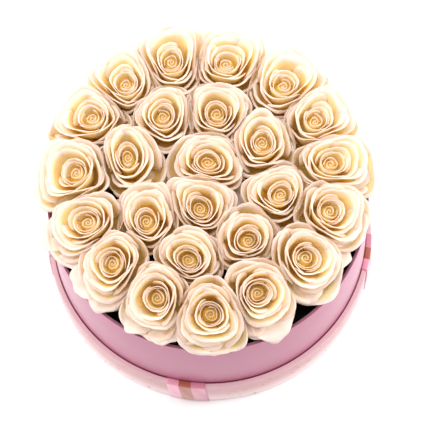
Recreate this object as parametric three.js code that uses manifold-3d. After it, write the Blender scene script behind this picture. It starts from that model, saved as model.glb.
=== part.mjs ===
// Round flower hat box: a cardboard box filled with cream roses, standing in its own upturned lid, with two
// satin ribbons laid crosswise under the lid and tucked over its edge. Millimetres, +Z up, -Y is the front.
// The origin is the middle of the ribbon face that the whole thing stands on.
import * as THREE from 'three';
import Module from 'manifold-3d';
import { ParametricGeometry } from 'three/addons/geometries/ParametricGeometry.js';
import { mergeVertices } from 'three/addons/utils/BufferGeometryUtils.js';

const wasm = await Module();
wasm.setup();

// Clearance between pieces that rest on or in each other, and the flats that stand for a round wall.
const GAP = 0.3;
const SIDES = 48;

// Ribbon.
const RIBBON_WIDTH = 32;
const RIBBON_THICKNESS = 0.6;
const RIBBON_TUCK = 13;
const RIBBON_COLUMNS = 4;
const RIBBON_LIFT = RIBBON_THICKNESS + GAP;
const RIBBONS = {
  ribbon_front_to_back: { from: -98.5, to: 81.5, slants: [8, 0], lifts: [] },
  ribbon_side_to_side: {
    from: -12.5,
    to: 181.5,
    slants: [-7, -7],
    lifts: [[0.388, 0], [0.418, RIBBON_LIFT], [0.588, RIBBON_LIFT], [0.618, 0]],
  },
};

// Lid, upturned: its wall stands up and its panel lies at the bottom.
const LID_RADIUS = 134.8;
const LID_WALL = 3;
const LID_FOOT = RIBBON_THICKNESS + GAP;
const LID_RIM = 37.5;
const PANEL_LIFT = 1.7;
const PANEL_THICKNESS = 2.5;

// Box body.
const BOX_RADIUS = 130;
const BOX_WALL = 2.5;
const BOX_FOOT = LID_FOOT + PANEL_LIFT + PANEL_THICKNESS + GAP;
const BOX_RIM = 129.6;
const BOX_BOTTOM = 2.5;

// Waterproof liner and the floral foam in it.
const LINER_WALL = 0.8;
const LINER_RIM = 100;
const FOAM_TOP = 95;

// Rose heads. The eye is the middle of a bloom's top, EYE_HEIGHT above the foot of its head. Petals follow
// each other round the eye by the golden angle, the closed ones inside. A petal spans twice its half span, its
// claw is narrower by PETAL_CLAW, its belly lies at PETAL_BELLY of its length, and its lip rolls out and down
// on both sides of a tip. The outermost petal of an outer rose faces outwards, give or take GUARD_SWING.
const EYE_HEIGHT = 40;
const PETALS = 7;
const CLOSED_PETALS = 4;
const PETAL_THICKNESS = 0.7;
const PETAL_STEP = 137.5;
const PETAL_CLAW = 0.5;
const PETAL_BELLY = 0.62;
const SCROLL_HALF_SPAN = 150;
const INNER_HALF_SPAN = 98;
const OUTER_HALF_SPAN = 64;
const SIDE_DROP = 0.2;
const LIP_ROLL_OUT = 3.5;
const LIP_ROLL_DOWN = 3;
const TIP_OUT = 2.5;
const TIP_DOWN = 0.5;
const GUARD_SWING = 50;

// The line of the innermost and of the outermost petal from root to lip, as the [radius, height] of its
// curve's four controls, and the outline of the dense heart that all the petals are rooted in.
const INNER_LINE = [[2.5, 22], [5.5, 28], [4.5, 37], [4, 42]];
const OUTER_LINE = [[6, 4], [32, 8], [30, 29], [43, 32]];
const LIP_SPREAD = 1.2;
const HEART = [[0, 0], [19, 12], [14, 26], [0, 32]];
const HEART_SIDES = 5;

// Each rose keeps to its own cell of the box in plan, and nothing reaches past REACH from the middle.
const CELL_MIDDLE = 0.6;
const CELL_MARGIN = 0.55;
const CELL_FIRMNESS = 5;
const REACH = 138.5;
const RIM_CLEARANCE = 2;
const RIM_LIFT_WIDTH = 6;

// Stems, with the green calyx and its five sepals.
const STEM_SIDES = 5;
const STEM_RADIUS = 2.4;
const STEM_END = 62;
const HIP_RADIUS = 5;
const HIP_LENGTH = 7;
const SEPAL_REACH = 15;
const SEPAL_DROOP = 4;
const SEPAL_THICKNESS = 0.7;
const SEPAL_NOTCH = 4.5;
const HOLE_RADIUS = STEM_RADIUS + 1.3 * GAP;

// The roses stand in three rings. Each rose is [azimuth, radius] of its eye, in degrees and millimetres.
const RINGS = [
  {
    name: 'outer',
    eyeLevel: BOX_RIM + 33,
    lean: 15,
    eyes: [
      [7, 101], [29, 102], [51, 104], [79, 104], [103, 109], [125, 108], [146, 109], [172, 106],
      [196, 101], [219, 101], [245, 104], [269, 110], [291, 101], [319, 101], [344, 101],
    ],
  },
  {
    name: 'middle',
    eyeLevel: BOX_RIM + 38,
    lean: 6,
    eyes: [[34, 55], [80, 58], [120, 66], [159, 67], [212, 59], [255, 68], [301, 60], [347, 60]],
  },
  {
    name: 'centre',
    eyeLevel: BOX_RIM + 39,
    lean: 2,
    eyes: [[85, 16], [254, 24]],
  },
];

const COLOURS = {
  boxPaper: { color: 0xe2afc6, roughness: 0.75 },
  lidPaper: { color: 0xeccbda, roughness: 0.7 },
  satin: { color: 0xf0a08c, roughness: 0.4 },
  liner: { color: 0x2c352c, roughness: 0.4 },
  foam: { color: 0x27402b, roughness: 0.95 },
  petals: { color: 0xf4e6c8, roughness: 0.6 },
  stem: { color: 0x6f8f4a, roughness: 0.65 },
};

const rad = THREE.MathUtils.degToRad;
const { lerp, smoothstep } = THREE.MathUtils;
const UP = new THREE.Vector3(0, 0, 1);
const finish = (name) => new THREE.MeshStandardMaterial({ ...COLOURS[name], metalness: 0, name });

// A geometry with its shared vertices merged and its collapsed faces dropped.
function merged(geometry) {
  const plain = geometry.clone();
  plain.deleteAttribute('normal');
  plain.deleteAttribute('uv');
  const result = mergeVertices(plain, 1e-4);
  const index = Array.from(result.index.array);
  const faces = [];
  for (let i = 0; i < index.length; i += 3) {
    const [a, b, c] = index.slice(i, i + 3);
    if (a !== b && b !== c && c !== a) faces.push([a, b, c]);
  }
  result.setIndex(faces.flat());
  return result;
}

// A closed geometry with its faces turned outwards.
function welded(geometry) {
  const result = merged(geometry);
  const position = result.getAttribute('position');
  const index = result.index.array;
  const corner = [0, 1, 2].map(() => new THREE.Vector3());
  let volume = 0;
  for (let i = 0; i < index.length; i += 3) {
    corner.forEach((point, k) => point.fromBufferAttribute(position, index[i + k]));
    volume += corner[0].dot(corner[1].clone().cross(corner[2]));
  }
  if (volume < 0) {
    for (let i = 0; i < index.length; i += 3) [index[i], index[i + 1]] = [index[i + 1], index[i]];
  }
  return result;
}

function toSolid(geometry) {
  const mesh = welded(geometry);
  return new wasm.Manifold(new wasm.Mesh({
    numProp: 3,
    vertProperties: Float32Array.from(mesh.getAttribute('position').array),
    triVerts: Uint32Array.from(mesh.index.array),
  }));
}

function toGeometry(solid) {
  const mesh = solid.getMesh();
  const geometry = new THREE.BufferGeometry();
  geometry.setAttribute('position', new THREE.BufferAttribute(mesh.vertProperties, 3));
  geometry.setIndex(new THREE.BufferAttribute(mesh.triVerts, 1));
  return geometry;
}

// The largest body of a solid: a loose scrap is dropped and a sealed hollow is filled.
function mainBody(solid) {
  return solid.decompose().reduce((best, body) => (body.volume() > best.volume() ? body : best));
}

function piece(name, colour, geometry) {
  const mesh = new THREE.Mesh(geometry, finish(colour));
  mesh.name = name;
  return mesh;
}

// A profile of [radius, height] points turned round +Z.
function turned(profile, sides) {
  const points = profile.map(([radius, height]) => new THREE.Vector2(radius, height));
  return new THREE.LatheGeometry(points, sides).rotateX(Math.PI / 2);
}

function tubeWall(outer, wall, foot, rim) {
  const inner = outer - wall;
  return welded(turned([[inner, foot], [outer, foot], [outer, rim], [inner, rim], [inner, foot]], SIDES));
}

function cup(outer, wall, foot, rim) {
  const inner = outer - wall;
  const floor = foot + wall;
  const profile = [[0, foot], [outer, foot], [outer, rim], [inner, rim], [inner, floor], [0, floor]];
  return welded(turned(profile, SIDES));
}

function disc(radius, foot, thickness) {
  const top = foot + thickness;
  return welded(turned([[0, foot], [radius, foot], [radius, top], [0, top]], SIDES));
}

// A closed solid round an open surface: two faces a thickness apart, and a rim along the surface's border.
function thickened(open, thickness) {
  const surface = merged(open);
  surface.computeVertexNormals();
  const middle = surface.getAttribute('position');
  const normal = surface.getAttribute('normal');
  const count = middle.count;
  const vertices = [];
  for (const side of [0.5, -0.5]) {
    for (let i = 0; i < count; i += 1) {
      const offset = new THREE.Vector3().fromBufferAttribute(normal, i).multiplyScalar(side * thickness);
      vertices.push(...offset.add(new THREE.Vector3().fromBufferAttribute(middle, i)).toArray());
    }
  }
  const faces = [];
  const edges = new Map();
  for (let i = 0; i < surface.index.count; i += 3) {
    const [a, b, c] = surface.index.array.slice(i, i + 3);
    faces.push(a, b, c, a + count, c + count, b + count);
    [[a, b], [b, c], [c, a]].forEach(([from, to]) => edges.set(`${from}-${to}`, [from, to]));
  }
  for (const [from, to] of edges.values()) {
    if (!edges.has(`${to}-${from}`)) faces.push(to, from, from + count, to, from + count, to + count);
  }
  const solid = new THREE.BufferGeometry();
  solid.setAttribute('position', new THREE.Float32BufferAttribute(vertices, 3));
  solid.setIndex(faces);
  return solid;
}

// The half section of one ribbon end, from under the lid, up its wall, over its edge and down inside, as
// [radius, height] of the ribbon's middle. The corners are cut so that the ribbon keeps GAP all the way.
function ribbonEnd() {
  const half = RIBBON_THICKNESS / 2;
  const outside = LID_RADIUS + GAP + half;
  const inside = (LID_RADIUS - LID_WALL) * Math.cos(Math.PI / SIDES) - GAP - half;
  const top = LID_RIM + GAP + half;
  return [
    [outside - half, half], [outside, 2 * half], [outside, top / 2], [outside, top - half],
    [outside - half, top],
    [inside + half, top], [inside, top - half], [inside, LID_RIM - RIBBON_TUCK],
  ];
}

// A ribbon from one azimuth of the lid's edge to another, straight across below. A ribbon that doesn't
// cross the middle meets the edge aslant, and climbs the wall at that slant. lifts lists [share of the way
// across, rise] where it passes over the other ribbon.
function ribbon(name, { from, to, slants, lifts }) {
  const end = ribbonEnd();
  const climb = (azimuth, turn, slant, across) => {
    let length = 0;
    return end.map(([radius, height], i) => {
      if (i > 0) length += Math.hypot(radius - end[i - 1][0], height - end[i - 1][1]);
      const round = turn * (across / Math.cos(rad(slant)) - Math.tan(rad(slant)) * length);
      const angle = rad(azimuth) + round / LID_RADIUS;
      return new THREE.Vector3(radius * Math.cos(angle), radius * Math.sin(angle), height);
    });
  };
  const rows = [];
  for (let column = 0; column <= RIBBON_COLUMNS; column += 1) {
    const across = RIBBON_WIDTH * (column / RIBBON_COLUMNS - 0.5);
    const first = climb(from, 1, slants[0], across);
    const last = climb(to, -1, slants[1], across);
    const under = lifts.map(([share, rise]) => {
      const point = first[0].clone().lerp(last[0], share);
      return point.setZ(point.z + rise);
    });
    rows.push([...first.reverse(), ...under, ...last]);
  }
  const steps = rows[0].length - 1;
  const surface = new ParametricGeometry((u, v, target) => {
    target.copy(rows[Math.round(u * RIBBON_COLUMNS)][Math.round(v * steps)]);
  }, RIBBON_COLUMNS, steps);
  return piece(name, 'satin', welded(thickened(surface, RIBBON_THICKNESS)));
}

// Where one rose stands: its axis, its foot, its eye, and the middle of the cell that it fills in plan.
function placeRose(ring, index) {
  const [azimuth, radius] = ring.eyes[index];
  const out = new THREE.Vector3(Math.cos(rad(azimuth)), Math.sin(rad(azimuth)), 0);
  const axis = out.clone().multiplyScalar(Math.sin(rad(ring.lean))).setZ(Math.cos(rad(ring.lean)));
  const eye = out.clone().multiplyScalar(radius).setZ(ring.eyeLevel);
  const foot = eye.clone().addScaledVector(axis, -EYE_HEIGHT);
  const middle = foot.clone().addScaledVector(axis, CELL_MIDDLE * EYE_HEIGHT);
  const number = String(index + 1).padStart(2, '0');
  const guard = azimuth + GUARD_SWING * Math.sin(2.4 * index);
  const spin = guard - (PETALS - 1) * PETAL_STEP;
  return { label: `${ring.name}_${number}`, axis, foot, middle, spin };
}

const roses = RINGS.flatMap((ring) => ring.eyes.map((_, index) => placeRose(ring, index)));

// How far a rose may reach in plan in one direction: half way to each neighbour, and REACH from the middle.
function cellReach(rose, x, y) {
  let reach = Infinity;
  for (const other of roses) {
    if (other === rose) continue;
    const dx = other.middle.x - rose.middle.x;
    const dy = other.middle.y - rose.middle.y;
    const apart = Math.hypot(dx, dy);
    const share = (dx * x + dy * y) / apart;
    if (share > 1e-6) reach = Math.min(reach, (apart / 2 - CELL_MARGIN) / share);
  }
  const along = rose.middle.x * x + rose.middle.y * y;
  const square = rose.middle.x ** 2 + rose.middle.y ** 2;
  return Math.min(reach, -along + Math.sqrt(along ** 2 - square + REACH ** 2));
}

// Presses a point of a bloom into the rose's own cell, and lifts it clear of the box's rim.
function pressed(rose, point) {
  const dx = point.x - rose.middle.x;
  const dy = point.y - rose.middle.y;
  const distance = Math.hypot(dx, dy);
  if (distance > 1e-6) {
    const reach = cellReach(rose, dx / distance, dy / distance);
    const squeeze = (1 + (distance / reach) ** CELL_FIRMNESS) ** (-1 / CELL_FIRMNESS);
    point.x = rose.middle.x + dx * squeeze;
    point.y = rose.middle.y + dy * squeeze;
  }
  const inside = BOX_RADIUS - BOX_WALL - RIM_CLEARANCE;
  const overRim = smoothstep(Math.hypot(point.x, point.y), inside - RIM_LIFT_WIDTH, inside);
  point.z += overRim * Math.max(0, BOX_RIM + RIM_CLEARANCE - point.z);
  return point;
}

// A petal's line in the plane through the rose's axis. s is 0 for the innermost petal and 1 for the
// outermost.
function petalLine(s) {
  const share = [s, s, s, s ** LIP_SPREAD];
  const controls = INNER_LINE.map(([radius, height], i) => new THREE.Vector2(
    lerp(radius, OUTER_LINE[i][0], share[i]),
    lerp(height, OUTER_LINE[i][1], s),
  ));
  return new THREE.CubicBezierCurve(...controls);
}

function petal(rose, index) {
  const s = index / (PETALS - 1);
  const line = petalLine(s);
  const slices = index === 0 ? 4 : 3;
  const stacks = index < CLOSED_PETALS ? 1 : 2;
  const halfSpan = index === 0 ? SCROLL_HALF_SPAN : lerp(INNER_HALF_SPAN, OUTER_HALF_SPAN, s);
  const heading = rose.spin + index * PETAL_STEP;
  const turn = new THREE.Quaternion().setFromUnitVectors(UP, rose.axis);
  const flat = new THREE.Vector2();
  const surface = new ParametricGeometry((u, v, target) => {
    const across = v === 0 && index > 0 ? PETAL_CLAW * Math.sign(u - 0.5) : 2 * u - 1;
    const along = v === 0.5 ? PETAL_BELLY : v;
    line.getPoint(along * (1 - SIDE_DROP * across ** 4), flat);
    const lip = v < 1 ? 0 : s;
    const roll = lip * Math.sin(Math.PI * 0.9 * Math.abs(across));
    const tip = lip * Math.max(0, 1 - 3 * Math.abs(across));
    const radius = flat.x + LIP_ROLL_OUT * roll + TIP_OUT * tip;
    const height = flat.y - LIP_ROLL_DOWN * roll - TIP_DOWN * tip;
    const angle = rad(heading + across * halfSpan * (0.6 + 0.4 * Math.sqrt(along)));
    target.set(radius * Math.cos(angle), radius * Math.sin(angle), height);
    target.applyQuaternion(turn).add(rose.foot);
    pressed(rose, target);
  }, slices, stacks);
  return toSolid(thickened(surface, PETAL_THICKNESS));
}

function heart(rose) {
  const geometry = turned(HEART, HEART_SIDES);
  const turn = new THREE.Quaternion().setFromUnitVectors(UP, rose.axis);
  const position = geometry.getAttribute('position');
  const point = new THREE.Vector3();
  for (let i = 0; i < position.count; i += 1) {
    point.fromBufferAttribute(position, i).applyQuaternion(turn).add(rose.foot);
    pressed(rose, point);
    position.setXYZ(i, point.x, point.y, point.z);
  }
  return toSolid(geometry);
}

function bloom(rose) {
  let solid = heart(rose);
  for (let index = PETALS - 1; index >= 0; index -= 1) solid = solid.add(petal(rose, index));
  const geometry = toGeometry(mainBody(solid)).translate(-rose.foot.x, -rose.foot.y, -rose.foot.z);
  const mesh = piece(`rose_${rose.label}`, 'petals', geometry);
  mesh.position.copy(rose.foot);
  return mesh;
}

// A plain prism round a rose's axis, from one distance along it to another.
function rod(rose, radius, from, to) {
  const geometry = turned([[0, from], [radius, from], [radius, to], [0, to]], STEM_SIDES);
  const turn = new THREE.Quaternion().setFromUnitVectors(UP, rose.axis);
  return toSolid(geometry.applyQuaternion(turn).translate(...rose.foot.toArray()));
}

const stemLength = (rose) => (rose.foot.z - STEM_END) / rose.axis.z;

// Five pointed sepals in one thin star, drooping from the hip.
function sepals() {
  const star = new THREE.Shape();
  for (let i = 0; i < 10; i += 1) {
    const radius = i % 2 ? SEPAL_NOTCH : SEPAL_REACH;
    const angle = (i * Math.PI) / 5 + Math.PI / 10;
    const point = [radius * Math.cos(angle), radius * Math.sin(angle)];
    if (i === 0) star.moveTo(...point);
    else star.lineTo(...point);
  }
  const geometry = new THREE.ExtrudeGeometry(star, { depth: SEPAL_THICKNESS, bevelEnabled: false });
  const position = geometry.getAttribute('position');
  for (let i = 0; i < position.count; i += 1) {
    const distance = Math.hypot(position.getX(i), position.getY(i));
    const droop = SEPAL_DROOP * Math.max(0, (distance - HIP_RADIUS) / (SEPAL_REACH - HIP_RADIUS));
    position.setZ(i, position.getZ(i) - droop - SEPAL_THICKNESS - GAP);
  }
  return geometry;
}

function stem(rose) {
  const length = stemLength(rose);
  const top = -GAP - SEPAL_THICKNESS / 2;
  const outline = [
    [0, -length], [STEM_RADIUS, -length], [STEM_RADIUS, top - HIP_LENGTH], [HIP_RADIUS, top - 1], [0, top],
  ];
  const solid = toSolid(turned(outline, STEM_SIDES)).add(toSolid(sepals()));
  const mesh = piece(`stem_${rose.label}`, 'stem', toGeometry(mainBody(solid)));
  mesh.position.copy(rose.foot);
  mesh.quaternion.setFromUnitVectors(UP, rose.axis);
  return mesh;
}

// Floral foam with a plain hole for each stem.
function foam(foot, radius) {
  let solid = toSolid(disc(radius, foot, FOAM_TOP - foot));
  for (const rose of roses) {
    const length = stemLength(rose);
    const above = (rose.foot.z - FOAM_TOP) / rose.axis.z - 2 * STEM_RADIUS;
    solid = solid.subtract(rod(rose, HOLE_RADIUS, -length - GAP, -above));
  }
  return toGeometry(solid);
}

function build() {
  const group = new THREE.Group();
  const panelFoot = LID_FOOT + PANEL_LIFT;
  const linerFoot = BOX_FOOT + BOX_BOTTOM + GAP;
  const linerRadius = BOX_RADIUS - BOX_WALL - GAP;
  const foamRadius = linerRadius - LINER_WALL - GAP;
  for (const [name, course] of Object.entries(RIBBONS)) group.add(ribbon(name, course));
  group.add(piece('lid_wall', 'lidPaper', tubeWall(LID_RADIUS, LID_WALL, LID_FOOT, LID_RIM)));
  group.add(piece('lid_panel', 'lidPaper', disc(LID_RADIUS - LID_WALL - GAP, panelFoot, PANEL_THICKNESS)));
  group.add(piece('box_wall', 'boxPaper', tubeWall(BOX_RADIUS, BOX_WALL, BOX_FOOT, BOX_RIM)));
  group.add(piece('box_bottom', 'boxPaper', disc(linerRadius, BOX_FOOT, BOX_BOTTOM)));
  group.add(piece('foam_liner', 'liner', cup(linerRadius, LINER_WALL, linerFoot, LINER_RIM)));
  group.add(piece('floral_foam', 'foam', foam(linerFoot + LINER_WALL + GAP, foamRadius)));
  for (const rose of roses) {
    group.add(stem(rose));
    group.add(bloom(rose));
  }
  return group;
}

export default build();
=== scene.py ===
# Flower hat box: a round paper-covered box of cream roses, standing in its own upturned lid, with two satin
# ribbons laid crosswise under the lid. Metres, +Z up, -Y is the front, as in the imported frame.
import math

import bpy
import numpy as np
from bpy.props import FloatProperty, FloatVectorProperty, IntProperty, PointerProperty
from bpy.types import Operator, Panel, PropertyGroup
from mathutils import Matrix, Vector


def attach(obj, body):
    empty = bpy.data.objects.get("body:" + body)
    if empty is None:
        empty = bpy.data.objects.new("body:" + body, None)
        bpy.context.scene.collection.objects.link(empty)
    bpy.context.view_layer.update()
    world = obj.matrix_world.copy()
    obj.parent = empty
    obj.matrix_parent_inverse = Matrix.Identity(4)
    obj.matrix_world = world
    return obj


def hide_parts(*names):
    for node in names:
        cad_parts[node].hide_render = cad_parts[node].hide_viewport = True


bl_info = {
    "name": "Flower hat box",
    "version": (1, 0, 0),
    "blender": (4, 5, 0),
    "location": "View3D > Sidebar > Hat box",
    "description": "Builds a round hat box of cream roses around its packed frame",
    "category": "Object",
}

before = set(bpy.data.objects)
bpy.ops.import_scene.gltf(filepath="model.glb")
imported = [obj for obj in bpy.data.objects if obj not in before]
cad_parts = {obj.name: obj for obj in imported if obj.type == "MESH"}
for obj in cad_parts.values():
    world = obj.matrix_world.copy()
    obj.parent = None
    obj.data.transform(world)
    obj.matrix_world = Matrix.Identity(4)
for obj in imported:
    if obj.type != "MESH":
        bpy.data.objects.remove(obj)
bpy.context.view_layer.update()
MM = 0.001
TINY = 1e-6
UP = Vector((0, 0, 1))

# Camera, fitted to the rim, the seam and the eyes of the blooms. Metres, angles and sensor millimetres.
CAMERA_AIM = Vector((0.0051, 0.0153, 0.0375))
CAMERA_DISTANCE = 2.6
CAMERA_ELEVATION = math.radians(71.2)
CAMERA_ROLL = math.radians(-2.62)
CAMERA_SENSOR = 36
CAMERA_LENS = 260
CAMERA_FAR = 20

# Light and floor. Each softbox has a place and a diameter in metres.
LIGHT_BOUNCES = 14
SOFTBOXES = {
    "overhead": ((-0.1, 0.3, 1.9), 1.6),
    "left": ((-1.9, 0.3, 1.0), 1.2),
    "right": ((1.9, 0.3, 1.0), 1.2),
}
TABLE_HALF = 2500

# Box and lid, in millimetres. Between two heights the lid's paper is painted paler towards its foot: painted
# light.
ROUND_SIDES = 240
CORNER_STEPS = 4
SHARP_ANGLE = math.radians(50)
BOX_RADIUS = 130
BOX_WALL = 2.5
BOX_FOOT = 5.4
BOX_RIM = 129.6
EDGE_ROUND = 0.7
TURN_IN_FOOT = 20
LID_RADIUS = 134.8
LID_WALL = 4.25
LID_FOOT = 0.9
LID_RIM = 37.5
LID_EDGE_ROUND = 0.35
PAINTED_LIGHT_FROM = 26
PAINTED_LIGHT_TO = -2
PANEL_RADIUS = 131.5
PANEL_FOOT = 2.6
PANEL_TOP = 5.1
PANEL_ROUND = 0.4
FLECK_MARGIN = 1.5
FLECK_LIFT = 0.06

# Ribbons, in millimetres and degrees. The upper one is lifted over the lower one, at shares of its course.
RIBBON_GAP = 0.3
RIBBON_TUCK = 13
RIBBON_FOOT_RUN = 4
RIBBON_COLUMNS = 32
RIBBON_UNDER_STEPS = 160
RIBBON_STEP = 1.6
RIBBON_BEND = 1.1
RIBBON_BEND_STEPS = 5
RIBBON_BULGE = 0.9
RIBBON_RIPPLE = 0.18
RIPPLE_ACROSS = 0.55
RIPPLE_UP = 5
RIBBON_RISE = 0.9
STRIPE_BLUR = 0.008
FLOAT_SPACING = 0.35
FLOATS_ALONG = 40
RIBBONS = {
    "ribbon_front_to_back": {"ends": (-99.5, 81.5), "slants": (4.5, 0), "lifts": ()},
    "ribbon_side_to_side": {
        "ends": (-12.5, 181.5),
        "slants": (-7, -7),
        "lifts": ((0.388, 0), (0.418, RIBBON_RISE), (0.588, RIBBON_RISE), (0.618, 0)),
    },
}

# Where the roses stand, in millimetres and degrees. Each is (azimuth and radius of its eye, how far it is
# drawn out, the direction of that, the side on which its cup stands away from the bud).
EYE_HEIGHT = 40
STEM_END = 62
STEM_LEAN = 15
LEAN_TO_FRONT = 7
BACK_SPREAD = 8
BACK_SPREAD_FROM = 0.6
RINGS = {
    "outer": {
        "eye": BOX_RIM + 33,
        "lean": 14,
        "largest": 31,
        "roses": (
            (7, 101, 1.12, 20, 120), (29, 102, 1.05, 60, 80), (51, 104, 1.08, 0, 55), (79, 104, 1.22, 0, 85),
            (103, 109, 1.12, 90, 80), (125, 108, 1.05, 90, 115), (146, 109, 1.08, 20, 165),
            (172, 106, 1.08, 60, 135), (196, 101, 1.12, 0, 150), (219, 101, 1.12, 70, 65),
            (245, 104, 1.05, 90, 140), (269, 110, 1.05, 120, 120), (291, 101, 1.12, 20, 20),
            (319, 101, 1.1, 150, 70), (344, 101, 1.05, 80, 45),
        ),
    },
    "middle": {
        "eye": BOX_RIM + 38,
        "lean": 6,
        "largest": 40,
        "roses": (
            (34, 55, 1.12, 100, 110), (80, 58, 1.1, 110, 60), (120, 66, 1.05, 60, 75),
            (159, 67, 1.35, 92, 90), (212, 59, 1.12, 80, 70), (255, 68, 1.12, 150, 135),
            (301, 60, 1.08, 20, 120), (347, 60, 1.22, 25, 180),
        ),
    },
    "centre": {
        "eye": BOX_RIM + 39,
        "lean": 2,
        "largest": 40,
        "roses": ((85, 16, 1.18, 170, 10), (254, 24, 1.15, 130, 45)),
    },
}

# A petal's line from root to lip, as the (radius, height) of its curve's four controls: the innermost petal,
# the outermost one of the head, and the broad guard petals under it. The heart is the bud inside them.
INNER_LINE = np.array(((3.0, 24), (8.0, 29), (8.6, 36), (7.2, 40)))
OUTER_LINE = np.array(((8.0, 10), (25, 10), (21, 33), (29, 35)))
GUARD_LINE = np.array(((8.0, 6), (36, 8), (28, 24), (44, 26)))
HEART_LINE = np.array(((0.2, 34), (6, 34.5), (7.5, 29), (11, 18)))
HEART_COLUMNS = 24
HEART_ROWS = 5
# The heart takes the deepest golden tones, partly painted shade.
HEART_TONE = 0.25

# Where a petal has each of its tones, from root to lip, and how much clouds and its openness shift that. The
# golden depth is partly the rose's own warm heart and partly painted shade of the recesses; the ivory lip is
# partly painted highlight where the lips catch the light.
TONE_PLACES = {"depth": 0.42, "belly": 0.75, "lip": 0.93}
TONE_STRETCH = 0.8
CLOUD_SHARE = 0.15
OPENNESS_SHARE = 0.25

# How often the grain of a petal's veins changes over its width and its length.
VEINS_ACROSS = 46
VEINS_ALONG = 3

# How open each petal stands, against its place in the row from the bud outwards, and where it stands. The
# cup stands clear of the bud on one side and faces a little to the front.
PLACES = (0, 0.28, 0.37, 0.68, 0.73, 1)
OPENNESS = (0, 0.13, 0.34, 0.6, 0.7, 1)
GOLDEN_ANGLE = 137.5
GUARD_SWING = 50
GUARD_SWING_TURN = 2.4
GUARD_TURNS = 2
GUARD_NEAREST = 0.35
CROWN_RISE = 5.5
RECESS = 3
RECESS_KEPT = 0.3
CUP_TILT = 0.07
FACE_TILT = 0.12
# The bud's petals and its scroll take at least this openness for their tones, which lightens their lips:
# partly painted highlight.
BUD_TONE = 0.55

# A petal's form. A pair is for the innermost and the outermost petal, and the waves are (size, number of
# turns, which phase).
INNER_SPAN = 118
OUTER_SPAN = 66
SPAN_GROWTH = 0.7
GUARD_SPAN = 56
ROOT_WIDTH = 0.6
ROW_CROWDING = 1.35
SIDE_DROP = (0.3, 0.42)
LIP_SQUARENESS = 2.8
LIP_ROUNDNESS = 0.6
POINT = (0.03, 0.2)
LIP_CURL = (35, 20)
SIDE_CURL = (15, 105)
SIDE_CURL_TURN = 0.85 * math.pi
CURL_START = (0.87, 0.76)
FLATNESS = 0.1
TUCK = 2.4
WAVE_SIZE = (0.25, 1.0)
HEIGHT_WAVES = ((0.7, 4.5, 0), (0.35, 9, 1), (0.26, 19, 4))
RADIUS_WAVES = ((0.9, 3.6, 2), (0.4, 8, 3), (0.3, 21, 4))

# Chance in the petals: how far a value strays to both sides, or the range of a factor.
HEADING_STRAY = 9
GUARD_STRAY = 12
WIDE_STRAY = 2
TALL_STRAY = 0.9
TIP_STRAY = 0.25
SPAN_RANGE = (0.9, 1.08)
POINT_RANGE = (0.4, 1.2)
CURL_RANGE = (0.6, 1.2)
PHASE_RANGE = (0, 6)

# The tight scroll of young petals in the eye.
SCROLL_TURNS = 2.3
SCROLL_TIGHTENING = 0.8
SCROLL_START = 0.4
SCROLL_RADIUS = 5.8
SCROLL_FOOT = 27
SCROLL_TOP = 36.8
SCROLL_CLIMB = 2
SCROLL_BELLY = 0.22
SCROLL_BELLY_HEIGHT = 1.5
SCROLL_LIP = 0.12
SCROLL_LIP_START = 0.85
SCROLL_DRAWN_IN = 1.1
SCROLL_RADIUS_WAVE = (0.06, 3)
SCROLL_TOP_WAVE = (0.6, 1.7)
SCROLL_COLUMNS = 90
SCROLL_ROWS = 6

# How the blooms share the room between them: each head keeps to its cell, the petals to a share of it.
HEAD_RADIUS = 27
CELL_MIDDLE = 0.6
CELL_MARGIN = -0.6
CELL_ROUNDNESS = 5
CELL_FIRMNESS = 6
GUARD_OVERLAP = 4
GUARD_SHARE = 1.24
GUARD_REACH = 1
BACK_OVERLAP = 3
REACH = 138.5
REACH_TO_BACK = 3.5
RIM_CLEARANCE = 2
RIM_LIFT_WIDTH = 6
PETAL_ROOM = (0.93, 1.06)
RAGGED = 0.05
RAGGED_TURNS = 9

# Guard petals that lie out of their bloom, some of them over the rim, as (azimuth, reach, half width).
DROOPING = {
    "outer_01": ((2, 37, 15),),
    "outer_07": ((150, 36, 15),),
    "outer_08": ((192, 40, 14),),
    "outer_09": ((183, 44, 15),),
    "outer_10": ((163, 46, 10), (198, 40, 16), (246, 38, 15)),
    "outer_11": ((215, 35, 14), (277, 37, 14)),
    "outer_12": ((205, 34, 14), (268, 27, 13)),
    "outer_13": ((305, 39, 20), (262, 32, 12)),
    "outer_14": ((10, 39, 14), (285, 31, 13)),
    "outer_15": ((325, 31, 14), (12, 36, 14)),
    "middle_04": ((348, 36, 15),),
    "middle_08": ((163, 37, 15), (205, 33, 13)),
}
DROOP_LEVEL = 10.5
DROOP_CLEARANCE = 4.2
DROOP_FALL = 6
DROOP_RUN = 9
DROOP_CUP = 1.6
DROOP_SHOULDER = 0.3
DROOP_SQUARENESS = 2.6
DROOP_ROOT_WIDTH = 0.4
DROOP_SWELLING = 0.6 * math.pi
DROOP_TONE = 0.45
DROOP_EDGE_WAVES = ((0.05, 2.6, 0), (0.015, 8, 1))
DROOP_HEIGHT_WAVES = ((1.1, 3.4, 2), (0.3, 9, 3))

# Sepals, in millimetres and shares of their own length and width.
SEPAL_ROOT = (0, 0.45)
SEPAL_TIP = (1, 0.02)
SEPAL_SWELLING = ((0.25, 1.0), (0.6, 0.55))
SEPAL_BEND = 2.2
SEPAL_FOLD = 0.35
SEPAL_KEEL = 1.6
SEPAL_THICKNESS = 0.5
HIP_GAP = 0.4

# How fine the stems' mottle is along them, as a share of that across them.
STEM_GRAIN = 0.3


def linear(code):
    """The linear colour, with alpha, of an sRGB hex code such as "f4e6c8"."""
    channels = [int(code[i:i + 2], 16) / 255 for i in (0, 2, 4)]
    return (*[c / 12.92 if c <= 0.04045 else ((c + 0.055) / 1.055) ** 2.4 for c in channels], 1.0)


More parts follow.
